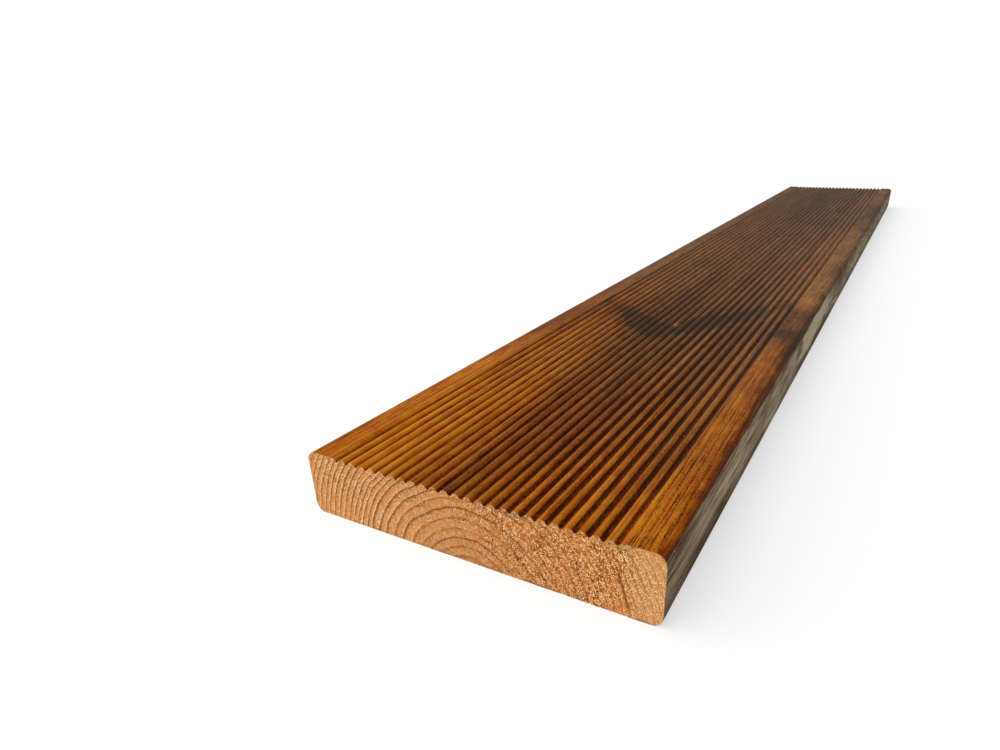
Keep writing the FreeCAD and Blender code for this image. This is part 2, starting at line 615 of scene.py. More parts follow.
    # The branch's stain: its depth and width, how far each rib shifts it, and how it fades to the sides.
    stain_depth: float = 0.85
    stain_width: float = 10.0
    rib_stains: tuple[float, int] = (45.0, 43)
    stain_shift: float = 8.0
    stain_fades: Span = (14, 50)
    stain_loss: float = 0.6
    # A light spot inside it that stays clean, and a second stain, flat across, on the right shoulder.
    clean: Patch = Patch(3, 218, 3, 6)
    shoulder_stain: Patch = Patch(66, 224, 12, 15)
    shoulder_depth: float = 0.5
    # How much the fibres' dark streaks show: little on the ribs, fully beside them, more at the near right.
    rib_streaks: float = 0.25
    near_streaks: float = 0.5
    near_streaks_end: Span = (60, 140)
    # Single places that are lighter, darker or duller than what is round them.
    patches: tuple[Patch, ...] = (
        Patch(63, 116, 2.8, 5, 0.35),
        Patch(61, 224, 11, 16, -0.15, 0.1),
        Patch(64, 305, 5, 16, 0.25),
        Patch(64, 262, 14, 36, -0.16),
        Patch(62, 58, 12, 26, -0.09),
        Patch(-10, 85, 16, 45, -0.07),
        Patch(-20, 12, 12, 30, 0.06),
        Patch(64, 10, 8, 30, 0.06),
        Patch(24, 165, 12, 50, 0.07),
        Patch(3, 218, 2.5, 4, 0.35, -0.3),
        Patch(-66, 85, 8, 45, 0.06),
        Patch(64, 100, 9, 75, 0.02, 0.16),
    )

    def root(self, board: Surface) -> Numbers:
        """Finds the grooves' dark roots: gathered oil with painted shade over it.

        Args:
            board: The board's points.

        Returns:
            How far each point lies in a root, from 0 to 1.
        """
        reach = self.root_reach + self.root_reach_right * rise(*self.root_right, board.x)
        inside = rise(-reach - self.root_blur, -reach, board.beside) * fall(*self.root_end, board.beside)
        return inside * board.ribbed * (1 - self.root_loss * rise(*self.root_fades, board.along))

    def oiled_tone(self, board: Surface) -> Numbers:
        """Works out how light the oil is on the ribs, the shoulders and the rounded edges.

        Args:
            board: The board's points.

        Returns:
            One tone for each point.
        """
        right, half = board.right, board.section.half
        tone = self.across.at(board.x)
        tone += self.even_share * rise(*self.evens_out, board.along) * (self.even_tone - tone)
        contrast = self.rib_contrast + self.rib_contrast_right * right
        tone += contrast * board.by_rib(*self.rib_tones) * board.ribbed
        # Painted shade in the grooves' roots, on top of the oil gathered there.
        tone -= (self.root_dark + self.root_dark_right * rise(*self.root_right, board.x)) * self.root(board)
        # Painted light on the right-facing sides of the ribs on the left of the board.
        flank = rise(*self.flank_start, board.beside) * fall(*self.flank_end, board.beside) * board.ribbed
        tone += self.flank_painted_light * flank * (1 - right)
        tone -= self.dark_left.at(board.along) * (1 - right) + self.dark_right.at(board.along) * right
        rim = rise(half - self.rim[0], half - self.rim[1], abs(board.x))
        return tone * (1 - self.rim_dark * rim)

    def bare_tone(self, board: Surface) -> Numbers:
        """Works out how light the bare right edge is, with its painted sheen and shade.

        Args:
            board: The board's points.

        Returns:
            One tone for each point.
        """
        contrast = self.cloud_contrast - self.cloud_loss * rise(*self.cloud_fades, board.along)
        # Painted sheen and shade on the bare side.
        painted_side_light = self.painted_side_light.at(board.along)
        off_band = (board.z - self.band_height) / self.band_reach
        painted_side_light += self.band_weight * (self.band_middle - off_band**2)
        stretch = bell(board.along, self.stretch_along, self.stretch_reach)
        painted_side_light += (rise(*self.stretch_height, board.z) - self.stretch_middle) * stretch
        return self.bare_middle + contrast * self.cloud.at(board.points) + painted_side_light

    def tone(self, board: Surface) -> Numbers:
        """Works out how light every planed face is.

        Args:
            board: The board's points.

        Returns:
            One tone for each point.
        """
        tone = np.where(board.under, self.under_tone, self.oiled_tone(board))
        tone = np.where(board.x > board.section.half - self.bare_depth, self.bare_tone(board), tone)
        contrast = self.uneven_contrast + self.uneven_contrast_right * board.right
        uneven = contrast * self.uneven.at(board.points) * rise(*self.uneven_starts, board.along)
        tone += np.where(board.ribbed | board.under, 0.0, uneven)
        return tone + sum(patch.lift * patch.share(board) for patch in self.patches)

    def age(self, board: Surface) -> Numbers:
        """Works out how dull the oil has become, with the painted sheen on the ribs' left-facing sides.

        Args:
            board: The board's points.

        Returns:
            One age for each point.
        """
        age = self.dull_sheen_share * rise(*self.dull_sheen_span, board.along + self.dull_sheen_start.at(board.points))
        by_rib = board.by_rib(*self.rib_ages) * board.ribbed
        age += self.rib_age_contrast * by_rib * rise(*self.rib_age_starts, board.along)
        # Painted sheen on the ribs' left-facing sides, drawn as dull oil.
        flank_sheen = self.sheen_beside_groove.at(board.beside) * board.ribbed * self.sheen_across.at(board.x)
        sheen_spared = self.sheen_loss_right * board.right * fall(*self.sheen_starts_right, board.along)
        age += flank_sheen * fall(*self.sheen_ends, board.along) * (1 - sheen_spared)
        age = np.where(board.under, self.under_age, age)
        return np.clip(age + sum(patch.age * patch.share(board) for patch in self.patches), 0, 1)

    def speck(self, board: Surface) -> Numbers:
        """Works out how specked the oil is.

        Args:
            board: The board's points.

        Returns:
            One value for each point, 0 for none.
        """
        ribs = self.rib_specks + self.rib_specks_right * board.right
        more = self.near_specks + self.near_specks_right * board.right
        sides = self.side_specks + more * fall(*self.near_specks_end, board.along)
        fewer = 1 - self.specks_loss * rise(*self.specks_fade, board.along)
        fewer *= 1 - self.specks_edge_loss * rise(*self.specks_edge, board.x)
        return np.where(board.ribbed, ribs, sides) * fewer

    def stain(self, board: Surface, rings: GrowthRings) -> Numbers:
        """Draws the stain that the branch left across the ribs and on the right shoulder.

        Args:
            board: The board's points.
            rings: The tree, which says where the branch was.

        Returns:
            How stained each point is, 0 for clean.
        """
        gap = rings.beyond_fork(board) + self.stain_shift * board.by_rib(*self.rib_stains)
        stain = self.stain_depth * bell(gap, 0, self.stain_width) * board.ribbed
        stain *= 1 - self.stain_loss * rise(*self.stain_fades, abs(board.x))
        stain *= 1 - self.clean.share(board)
        spot = self.shoulder_stain
        flat = np.exp(-(((board.x - spot.x) / spot.wide) ** 4)) * bell(board.along, spot.along, spot.long)
        return stain + self.shoulder_depth * flat * board.upper

    def layers(self, board: Surface, rings: GrowthRings) -> LayerValues:
        """Works out all that the oiled faces' finish reads.

        Args:
            board: The board's points.
            rings: The tree that it was sawn from.

        Returns:
            One value to a point for each layer.
        """
        half = board.section.half
        bare = rise(half - self.bare_rim[0], half - self.bare_rim[1], board.x) * (board.z > self.bare_from)
        beside_ribs = 1 + self.near_streaks * board.right * fall(*self.near_streaks_end, board.along)
        return {
            Layer.TONE: self.tone(board),
            Layer.AGE: self.age(board),
            Layer.SPECK: self.speck(board),
            Layer.STREAK: np.where(board.ribbed, self.rib_streaks, beside_ribs),
            Layer.STAIN: self.stain(board, rings),
            Layer.WEATHERED_AND_SHEEN: bare,
        }


@dataclass(frozen=True)
class SawMarks:
    """What the saw and the weather left on the ends.

    Lengths are in millimetres, across from the board's middle and up from its underside. A pair of them is
    where a soft change starts and ends. The pairs for ridges and dips are shares of a year's growth, and the
    pairs for smudges are levels of their pattern.
    """

    # The radius at which an angle round the pith counts as that many millimetres.
    turn_radius: float = 45.0
    # How high the surface lies on average, from 0 for the deepest to 1 for the highest.
    level: float = 0.52
    # Each year's growth is a ridge and a dip, bold at the left and faint at the right.
    ridge_years: Span = (0.0, 0.3)
    dip_years: Span = (0.7, 0.9)
    ridge_height: float = 0.2
    ridged: float = 0.14
    ridged_left: float = 0.86
    ridged_ends: Span = (-46, -8)
    # Torn fibres: fewer at the left, most right of the middle, fewer again at the right.
    torn: float = 0.55
    torn_right: float = 0.45
    torn_starts: Span = (0, 20)
    torn_ends: Span = (40, 66)
    torn_loss: float = 0.7
    tufts: Ripple = Ripple((0.85, 1.15, 1), 1.0, 11)
    tuft_height: float = 0.3
    pits: Ripple = Ripple((0.5, 0.65, 1), 1.0, 12)
    pit_depth: float = 0.5
    # Where the tufts are coarsest.
    coarse_starts: Span = (-5, 12)
    coarse_ends: Span = (26, 44)
    coarse_height: float = 0.42
    # A split along one ring at the right: its radius, how far it leans out by a given height, and its width.
    split_radius: float = 60.7
    split_lean: float = 2.3
    split_height: float = 23.0
    split_width: float = 0.26
    split_starts: Span = (1.5, 4)
    split_ends: Span = (12, 24)
    split_right_of: float = 40.0
    split_depth: float = 0.5
    # How much the years' ridges show in the colour, as painted highlight on the ridges and painted shade in
    # the dips.
    seams: Ripple = Ripple((1.4, 1.6, 1), 1.7, 14)
    seams_right: float = 0.15
    seams_right_starts: Span = (40, 60)
    # The years' dark lines: fainter where the ridges are bold and at the right, and broken up.
    line_loss_ridged: float = 0.3
    line_loss_right: float = 0.3
    line_fades: Span = (8, 24)
    line_breaks: Ripple = Ripple((3, 9, 1), 0.75, 13)
    line_least: float = 0.45
    line_most: float = 0.95
    # Straw-coloured wood at the right and, fainter, at the left.
    straw_right: float = 0.38
    straw_right_starts: Span = (56, 68)
    straw_left: float = 0.16
    straw_left_ends: Span = (-45, 5)
    # Soil in smudges under the upper face, from the middle to the right, and darker smudges along the
    # underside.
    soil_top: float = 0.9
    soil_top_depth: Span = (0.6, 3.6)
    soil_top_starts: Span = (-40, -8)
    smudges: Ripple = Ripple((7, 7, 4), 1.0, 31)
    smudge_share: Span = (0.42, 0.8)
    foot_dark: float = 0.8
    foot_dark_height: Span = (0.2, 1.3)
    foot_smudges: Ripple = Ripple((5, 5, 4), 1.0, 33)
    foot_share: Span = (0.5, 0.75)

    def split(self, board: Surface, rings: GrowthRings) -> Numbers:
        """Draws the split along one ring.

        Args:
            board: The board's points.
            rings: The tree that it was sawn from.

        Returns:
            How far each point lies in the split, from 0 to 1.
        """
        radius = np.hypot(board.x - rings.pith_x, board.z - rings.pith_z)
        gap = radius - self.split_lean * (board.z / self.split_height) ** 2
        ends = rise(*self.split_starts, board.z) * fall(*self.split_ends, board.z)
        return bell(gap, self.split_radius, self.split_width) * ends * (board.x > self.split_right_of)

    def soil(self, board: Surface) -> Numbers:
        """Draws the soil under the upper side of the ends, and the darker smudges along their lower side.

        Args:
            board: The board's points.

        Returns:
            How far each point takes the soil colour, from 0 to 1.
        """
        top = self.soil_top * fall(*self.soil_top_depth, board.section.thickness - board.z)
        top *= rise(*self.smudge_share, self.smudges.noise(board.points))
        top *= rise(*self.soil_top_starts, board.x)
        foot = self.foot_dark * fall(*self.foot_dark_height, board.z)
        return top + foot * rise(*self.foot_share, self.foot_smudges.noise(board.points))

    def layers(self, board: Surface, rings: GrowthRings) -> LayerValues:
        """Works out all that the sawn ends' finish and shape read.

        Args:
            board: The board's points.
            rings: The tree that it was sawn from.

        Returns:
            One value to a point for each layer, and three for the place in the tree.
        """
        x = board.x
        radius, turn = rings.polar(board)
        ring = rings.number(radius)
        year = ring % 1.0
        growth = np.stack([radius, self.turn_radius * turn, np.sign(board.points[:, 1])], axis=1)
        ridged = self.ridged + self.ridged_left * fall(*self.ridged_ends, x)
        torn = self.torn + self.torn_right * rise(*self.torn_starts, x) * (
            1 - self.torn_loss * rise(*self.torn_ends, x))
        tufts, pits = self.tufts.at(growth), self.pits.at(growth)
        coarse = rise(*self.coarse_starts, x) * fall(*self.coarse_ends, x)
        split = self.split(board, rings)
        relief = self.level + ridged * self.ridge_height * (
            fall(*self.ridge_years, year) - rise(*self.dip_years, year))
        relief += torn * (self.tuft_height * tufts + self.pit_depth * pits)
        relief += self.coarse_height * coarse * tufts
        relief -= self.split_depth * split
        seams = self.seams.reach * ridged * self.seams.noise(growth)
        seams += self.seams_right * rise(*self.seams_right_starts, x)
        line = rings.boldness(ring) - self.line_loss_ridged * ridged
        line *= 1 - self.line_loss_right * rise(*self.line_fades, x)
        line *= self.line_least + self.line_breaks.reach * self.line_breaks.noise(growth)
        straw = self.straw_right * rise(*self.straw_right_starts, x)
        straw += self.straw_left * fall(*self.straw_left_ends, x)
        return {
            Layer.RING: ring,
            Layer.RELIEF: np.clip(relief, 0, 1),
            Layer.TORN: torn,
            Layer.RIDGED: seams,
            Layer.LINE: np.clip(line, 0, self.line_most),
            Layer.STRAW: straw,
            Layer.SOIL: self.soil(board),
            Layer.SPLIT: split,
            Layer.GROWTH: growth,
        }


@dataclass(frozen=True)
class Pattern:
    """A random pattern: its cell in millimetres along three axes, and how many finer levels it has."""

    cell: tuple[float, float, float]
    detail: float = 2.0

    @property
    def scale(self) -> tuple[float, ...]:
        """Cells to the millimetre along each axis."""
        return tuple(1 / side for side in self.cell)


NoiseSockets = dict[Pattern, bpy.types.NodeSocket]


@dataclass(frozen=True)
class OiledSoftwood:
    """Planed pine under dark decking oil.

    The oil is russet with patches of gold. It gathers in the grooves and goes dark brown there, under painted
    shade. It is dull where it is old, and the dull colour also paints a sheen on the ribs' left-facing sides
    and along the board. Fibres and pores show as fine streaks. The gloss is faint. Where no oil is left, the
    wood is a matt weathered grey, partly a painted reflection of the floor.
    """

    name: str = "oiled_softwood"
    # Russet, golden and dull oil, each from its darkest tone to its lightest. The dull colours also paint a
    # sheen on the ribs' left-facing sides and along the board.
    deep: str = "#2a0e00"
    umber: str = "#5c2300"
    amber: str = "#a44e08"
    honey: str = "#d07c20"
    gold_umber: str = "#5a2700"
    gold: str = "#9d5703"
    gold_pale: str = "#cc8418"
    dull_deep: str = "#30200c"
    dull: str = "#694624"
    dull_pale: str = "#8a6236"
    # Bare wood, from damp to dry; its greys are partly a painted reflection of the floor.
    damp: str = "#5a4935"
    dry: str = "#887860"
    grey: str = "#b5aa92"
    # Specks, pores, the branch's stain and flecks of torn wood.
    speck: str = "#5a1e02"
    pore: str = "#1c0b02"
    knot: str = "#2a1f14"
    torn: str = "#e0b98c"
    roughness: float = 0.55
    roughness_change: float = 0.2
    bare_roughness: float = 0.4
    ior: float = 1.47
    specular: float = 0.03
    fibre: Pattern = Pattern((0.7, 45, 0.7), 4)
    mottle: Pattern = Pattern((0.6, 1.2, 0.6), 2)
    blotch: Pattern = Pattern((14, 90, 14), 3)
    tint: Pattern = Pattern((3, 9, 3), 3)
    # Pores are finer than this in the wood: they are drawn half a millimetre wide to show at all.
    pores: Pattern = Pattern((0.5, 24, 0.5), 2)
    edge: Pattern = Pattern((2.2, 30, 2.2), 4)
    streak: Pattern = Pattern((1.6, 24, 1.6), 5)
    fleck: Pattern = Pattern((9, 9, 9), 0)
    # How much late wood, specks and three of the patterns change the oil's tone.
    late_weight: float = -0.16
    speck_weight: float = 2.0
    fibre_weight: float = 0.7
    blotch_weight: float = 0.4
    tint_weight: float = 0.5
    # Where the bare wood's tone starts, and how much two patterns, the board's tone and the loss of oil
    # lighten it.
    bare_start: float = -0.61
    bare_streak: float = 0.8
    bare_fibre: float = 0.3
    bare_tone: float = 0.4
    bare_loss: float = 0.4
    # How far fibres shift the years, streaks shift the bare edge, and unevenness shifts the stain.
    year_shift: float = 0.5
    bare_shift: float = 0.5
    stain_shift: float = 1.1
    # The fine relief: how deep pores are beside the fibres' height, its strength, and its height in
    # millimetres.
    pore_depth: float = 0.8
    bump: float = 0.5
    bump_height: float = 0.12

    def tone(self, tree: bpy.types.NodeTree, layer: LayerSockets, noise: NoiseSockets) -> bpy.types.Node:
        """Works out how light the oil is.

        Args:
            tree: The material's node tree.
            layer: The board's own measures.
            noise: The random patterns.

        Returns:
            A node that gives 0 for the darkest oil and 1 for the lightest.
        """
        ring = add_node(tree, "ShaderNodeMath", {
            0: noise[self.fibre], 1: self.year_shift, 2: layer[Layer.RING]}, operation="MULTIPLY_ADD")
        year = add_node(tree, "ShaderNodeMath", {0: ring}, operation="FRACT")
        late = add_node(tree, "ShaderNodeValToRGB", {"Fac": year},
                        stops=((0.0, 0.0), (0.6, 0.1), (0.86, 1.0), (0.96, 1.0), (1.0, 0.0)))
        late = add_node(tree, "ShaderNodeMath", {0: late, 1: layer[Layer.STREAK]}, operation="MULTIPLY")
        spots = add_node(tree, "ShaderNodeMath", {0: noise[self.mottle], 1: 0.5}, operation="SUBTRACT")
        spots = add_node(tree, "ShaderNodeMath", {0: spots, 1: layer[Layer.SPECK]}, operation="MULTIPLY")
        # A pattern is a half on average, so half of each pattern's weight is taken off first.
        average = (self.fibre_weight + self.blotch_weight + self.tint_weight) / 2
        tone = add_node(tree, "ShaderNodeMath", {0: layer[Layer.TONE], 1: average}, operation="SUBTRACT")
        for source, weight in (
            (late, self.late_weight), (spots, self.speck_weight), (noise[self.fibre], self.fibre_weight),
            (noise[self.blotch], self.blotch_weight), (noise[self.tint], self.tint_weight),
        ):
            tone = add_node(tree, "ShaderNodeMath", {0: source, 1: weight, 2: tone},
                            operation="MULTIPLY_ADD")
        return tone

    def bare_wood(
        self,
        tree: bpy.types.NodeTree,
        layer: LayerSockets,
        noise: NoiseSockets,
    ) -> tuple[bpy.types.Node, bpy.types.Node]:
        """Works out where the oil has gone and what shows there: grey wood, partly a painted reflection of
        the floor.

        Args:
            tree: The material's node tree.
            layer: The board's own measures.
            noise: The random patterns.

        Returns:
            Two nodes: one gives the share that is bare, and the other the bare wood's colour.
        """
        loss = add_node(tree, "ShaderNodeMath", {
            0: noise[self.streak], 1: self.bare_shift, 2: layer[Layer.WEATHERED_AND_SHEEN]}, operation="MULTIPLY_ADD")
        loss = add_node(tree, "ShaderNodeValToRGB", {"Fac": loss}, stops=((0.6, 0.0), (0.95, 0.92)))
        light: bpy.types.Node | float = self.bare_start
        for source, weight in (
            (noise[self.streak], self.bare_streak), (noise[self.fibre], self.bare_fibre),
            (layer[Layer.TONE], self.bare_tone), (loss, self.bare_loss),
        ):
            light = add_node(tree, "ShaderNodeMath", {0: source, 1: weight, 2: light},
                             operation="MULTIPLY_ADD")
        return loss, add_node(tree, "ShaderNodeValToRGB", {"Fac": light},
                              stops=((0.32, self.damp), (0.5, self.dry), (0.7, self.grey)))

    def material(self) -> bpy.types.Material:
        """Builds the finish.

        Returns:
            The material for all planed faces.
        """
        material = empty_material(self.name)
        tree = material.node_tree
        layer = {which: add_node(tree, "ShaderNodeAttribute", attribute_name=which.value).outputs["Fac"]
                 for which in (Layer.RING, Layer.TONE, Layer.AGE, Layer.SPECK, Layer.STREAK, Layer.STAIN,
                               Layer.WEATHERED_AND_SHEEN)}
        place = add_node(tree, "ShaderNodeVectorMath", {
            0: add_node(tree, "ShaderNodeTexCoord").outputs["Object"], "Scale": 1 / MM}, operation="SCALE")
        noise = {}
        for pattern in (self.fibre, self.mottle, self.blotch, self.tint, self.pores, self.edge, self.streak):
            cells = add_node(tree, "ShaderNodeVectorMath", {0: place, 1: pattern.scale},
                             operation="MULTIPLY")
            noise[pattern] = add_node(tree, "ShaderNodeTexNoise", {
                "Vector": cells, "Scale": 1.0, "Detail": pattern.detail}).outputs[0]

        tone = self.tone(tree, layer, noise)
        colour = add_node(tree, "ShaderNodeValToRGB", {"Fac": tone}, stops=(
            (0.0, self.deep), (0.33, self.umber), (0.66, self.amber), (1.0, self.honey)))
        golden = add_node(tree, "ShaderNodeValToRGB", {"Fac": tone}, stops=(
            (0.0, self.deep), (0.33, self.gold_umber), (0.66, self.gold), (1.0, self.gold_pale)))
        gilt = add_node(tree, "ShaderNodeValToRGB", {"Fac": noise[self.tint]},
                        stops=((0.42, 0.0), (0.58, 0.85)))
        # The dull colours, for old oil and for the painted sheen.
        dull = add_node(tree, "ShaderNodeValToRGB", {"Fac": tone}, stops=(
            (0.1, self.dull_deep), (0.48, self.dull), (0.9, self.dull_pale)))
        loss, bare = self.bare_wood(tree, layer, noise)
        specks = add_node(tree, "ShaderNodeValToRGB", {"Fac": noise[self.mottle]},
                          stops=((0.48, 0.0), (0.62, 0.55)))
        specks = add_node(tree, "ShaderNodeMath", {0: specks, 1: layer[Layer.SPECK]}, operation="MULTIPLY")
        pores = add_node(tree, "ShaderNodeValToRGB", {"Fac": noise[self.pores]},
                         stops=((0.605, 0.0), (0.665, 0.85)))
        pores = add_node(tree, "ShaderNodeMath", {0: pores, 1: layer[Layer.STREAK]}, operation="MULTIPLY")
        stain = add_node(tree, "ShaderNodeMath", {
            0: noise[self.edge], 1: self.stain_shift, 2: layer[Layer.STAIN]}, operation="MULTIPLY_ADD")
        stain = add_node(tree, "ShaderNodeValToRGB", {"Fac": stain}, stops=((0.75, 0.0), (1.0, 0.72)))
        flecks = add_node(tree, "ShaderNodeTexVoronoi", {"Vector": place, "Scale": self.fleck.scale[0]})
        flecks = add_node(tree, "ShaderNodeValToRGB", {"Fac": flecks}, stops=((0.022, 0.7), (0.04, 0.0)))
        for share, over in (
            (gilt, golden), (layer[Layer.AGE], dull), (loss, bare), (specks, linear(self.speck)),
            (pores, linear(self.pore)), (stain, linear(self.knot)), (flecks, linear(self.torn)),
        ):
            mixed = add_node(tree, "ShaderNodeMix", {MIX_SHARE: share, MIX_FROM: colour, MIX_TO: over},
                             data_type="RGBA")
            colour = mixed.outputs[MIX_RESULT]

        least = self.roughness - self.roughness_change / 2
        rough = add_node(tree, "ShaderNodeMath", {
            0: noise[self.mottle], 1: self.roughness_change, 2: least}, operation="MULTIPLY_ADD")
        rough = add_node(tree, "ShaderNodeMath", {0: loss, 1: self.bare_roughness, 2: rough},
                         operation="MULTIPLY_ADD")
        height = add_node(tree, "ShaderNodeMath", {0: pores, 1: -self.pore_depth, 2: noise[self.fibre]},
                          operation="MULTIPLY_ADD")
        bump = add_node(tree, "ShaderNodeBump", {
            "Height": height, "Strength": self.bump, "Distance": self.bump_height * MM})
        surface = add_node(tree, "ShaderNodeBsdfPrincipled", {
            "Base Color": colour, "Roughness": rough, "IOR": self.ior, "Specular IOR Level": self.specular,
            "Normal": bump})
        add_node(tree, "ShaderNodeOutputMaterial", {"Surface": surface})
        return material


@dataclass(frozen=True)
class SawnEndGrain:
    """Bare pine cut across by a saw.

    Open cell ends read as dull orange tan with dark pits and pale torn fibres, and each year's late wood
    draws a thin grey-brown line. The colour follows the height, so it is partly painted shade in the pits and
    painted highlight on the tufts.
    """

    name: str = "sawn_end_grain"
    # From the deepest wood to the highest, the colours also paint shade in the pits and highlight on the
    # tufts.
    pit: str = "#6a3000"
    shade: str = "#98540e"
    tan: str = "#c48a4e"
    pale: str = "#f0c690"
    orange: str = "#c87a3c"
    late: str = "#6e451c"
    straw: str = "#cda26c"
    soil: str = "#7a6040"
    gap: str = "#573417"
    roughness: float = 0.85
    ior: float = 1.5
    specular: float = 0.1
    # Cell ends are far finer: they are drawn about a third of a millimetre wide, so that they show.
    cells: Pattern = Pattern((0.28, 0.36, 1), 1)
    crumbs: Pattern = Pattern((0.36, 0.46, 1), 0)
    tufts: Pattern = Pattern((1.1, 1.0, 1), 2)
    patches: Pattern = Pattern((8, 11, 1), 2)
    # Crumbs of torn fibre: how irregular they are, how far each one falls off, and their average height.
    crumb_disorder: float = 0.9
    crumb_fall: float = 0.7
    crumb_average: float = 0.3
    # How much crumbs, open cells and the years' ridges add to the height, which only colours the end: painted
    # shade low down and painted highlight high up.
    crumb_weight: float = 1.25
    cell_weight: float = 4.6
    ridge_weight: float = 0.85
    # How far tufts shift the years.
    year_shift: float = 0.4
    # The fine relief's strength, and its height in millimetres.
    bump: float = 0.7
    bump_height: float = 0.3

    def crumb_height(
        self,
        tree: bpy.types.NodeTree,
        layer: LayerSockets,
        growth: bpy.types.NodeSocket,
    ) -> bpy.types.Node:
        """Draws the crumbs of torn fibre.

        Args:
            tree: The material's node tree.
            layer: The board's own measures.
            growth: The place in the tree, in millimetres.

        Returns:
            A node that gives their height, about 0 on average.
        """
        place = add_node(tree, "ShaderNodeVectorMath", {0: growth, 1: self.crumbs.scale},
                         operation="MULTIPLY")
        crumbs = add_node(tree, "ShaderNodeTexVoronoi", {
            "Vector": place, "Scale": 1.0, "Randomness": self.crumb_disorder})
        own = add_node(tree, "ShaderNodeSeparateColor", {0: crumbs.outputs["Color"]})
        height = add_node(tree, "ShaderNodeMath", {
            0: crumbs.outputs["Distance"], 1: -self.crumb_fall, 2: own}, operation="MULTIPLY_ADD")
        height = add_node(tree, "ShaderNodeMath", {0: height, 1: self.crumb_average}, operation="SUBTRACT")
        return add_node(tree, "ShaderNodeMath", {0: height, 1: layer[Layer.TORN]}, operation="MULTIPLY")

    def material(self) -> bpy.types.Material:
        """Builds the finish.

        Returns:
            The material for both sawn ends.
        """
        material = empty_material(self.name)
        tree = material.node_tree
        layer = {which: add_node(tree, "ShaderNodeAttribute", attribute_name=which.value).outputs["Fac"]
                 for which in (Layer.RING, Layer.RELIEF, Layer.TORN, Layer.RIDGED, Layer.LINE, Layer.STRAW,
                               Layer.SOIL, Layer.SPLIT)}
        growth = add_node(tree, "ShaderNodeAttribute", attribute_name=Layer.GROWTH.value).outputs["Vector"]
        noise = {}
        for pattern in (self.cells, self.tufts, self.patches):
            cells = add_node(tree, "ShaderNodeVectorMath", {0: growth, 1: pattern.scale},
                             operation="MULTIPLY")
            noise[pattern] = add_node(tree, "ShaderNodeTexNoise", {
                "Vector": cells, "Scale": 1.0, "Detail": pattern.detail}).outputs[0]

        ring = add_node(tree, "ShaderNodeMath", {
            0: noise[self.tufts], 1: self.year_shift, 2: layer[Layer.RING]}, operation="MULTIPLY_ADD")
        year = add_node(tree, "ShaderNodeMath", {0: ring, 1: self.year_shift / 2}, operation="SUBTRACT")
        year = add_node(tree, "ShaderNodeMath", {0: year}, operation="FRACT")
        # Painted highlight on each year's ridge and painted shade in its dip.
        ridge = add_node(tree, "ShaderNodeValToRGB", {"Fac": year}, stops=(
            (0.0, 0.4), (0.08, 0.95), (0.2, 0.8), (0.36, 0.5), (0.66, 0.5), (0.8, 0.05), (0.92, 0.05)))
        ridge = add_node(tree, "ShaderNodeMath", {0: ridge, 1: 0.5}, operation="SUBTRACT")
        ridge = add_node(tree, "ShaderNodeMath", {0: ridge, 1: layer[Layer.RIDGED]}, operation="MULTIPLY")
        open_wood = add_node(tree, "ShaderNodeValToRGB", {"Fac": year},
                             stops=((0.0, 0.5), (0.1, 1.15), (0.6, 1.0), (0.85, 0.4)))
        open_cells = add_node(tree, "ShaderNodeMath", {0: noise[self.cells], 1: 0.5}, operation="SUBTRACT")
        open_cells = add_node(tree, "ShaderNodeMath", {0: open_cells, 1: open_wood}, operation="MULTIPLY")
        height = layer[Layer.RELIEF]
        for source, weight in (
            (self.crumb_height(tree, layer, growth), self.crumb_weight), (open_cells, self.cell_weight),
            (ridge, self.ridge_weight),
        ):
            height = add_node(tree, "ShaderNodeMath", {0: source, 1: weight, 2: height},
                              operation="MULTIPLY_ADD")

        # The colour follows the height: partly the wood's own colour, partly painted shade in pits and dips
        # and painted highlight on tufts and ridges.
        colour = add_node(tree, "ShaderNodeValToRGB", {"Fac": height}, stops=(
            (0.05, self.pit), (0.28, self.shade), (0.5, self.tan), (0.66, self.tan), (0.95, self.pale)))
        warm = add_node(tree, "ShaderNodeValToRGB", {"Fac": noise[self.patches]},
                        stops=((0.4, 0.0), (0.7, 0.45)))
        line = add_node(tree, "ShaderNodeValToRGB", {"Fac": year},
                        stops=((0.76, 0.0), (0.9, 1.0), (0.96, 1.0), (1.0, 0.0)))
        line = add_node(tree, "ShaderNodeMath", {0: line, 1: layer[Layer.LINE]}, operation="MULTIPLY")
        for share, over in (
            (warm, self.orange), (layer[Layer.STRAW], self.straw), (line, self.late),
            (layer[Layer.SOIL], self.soil), (layer[Layer.SPLIT], self.gap),
        ):
            mixed = add_node(tree, "ShaderNodeMix", {
                MIX_SHARE: share, MIX_FROM: colour, MIX_TO: linear(over)}, data_type="RGBA")
            colour = mixed.outputs[MIX_RESULT]
        bump = add_node(tree, "ShaderNodeBump", {
            "Height": noise[self.cells], "Strength": self.bump, "Distance": self.bump_height * MM})
        surface = add_node(tree, "ShaderNodeBsdfPrincipled", {
            "Base Color": colour, "Roughness": self.roughness, "IOR": self.ior,
            "Specular IOR Level": self.specular, "Normal": bump})
        add_node(tree, "ShaderNodeOutputMaterial", {"Surface": surface})
        return material


@dataclass(frozen=True)
class FlatMap:
    """Where the board's faces lie on the square map for baked finishes, in parts of the map's side.

    The long faces are unrolled into two strips side by side, one for each half of the board's length, and the
    two ends lie above them.
    """

    name: str = "OFBake"
    side: float = 1024
    margin: float = 4
    strip_width: float = 504
    strip_step: float = 512
    strip_length: float = 720
    near_end: float = 732
    far_end: float = 880
    # Parts of the map to a millimetre of an end.
    end_scale: float = 5.2
    # The plain underside gets this share of the room that its width would take.
    underside_share: float = 0.5


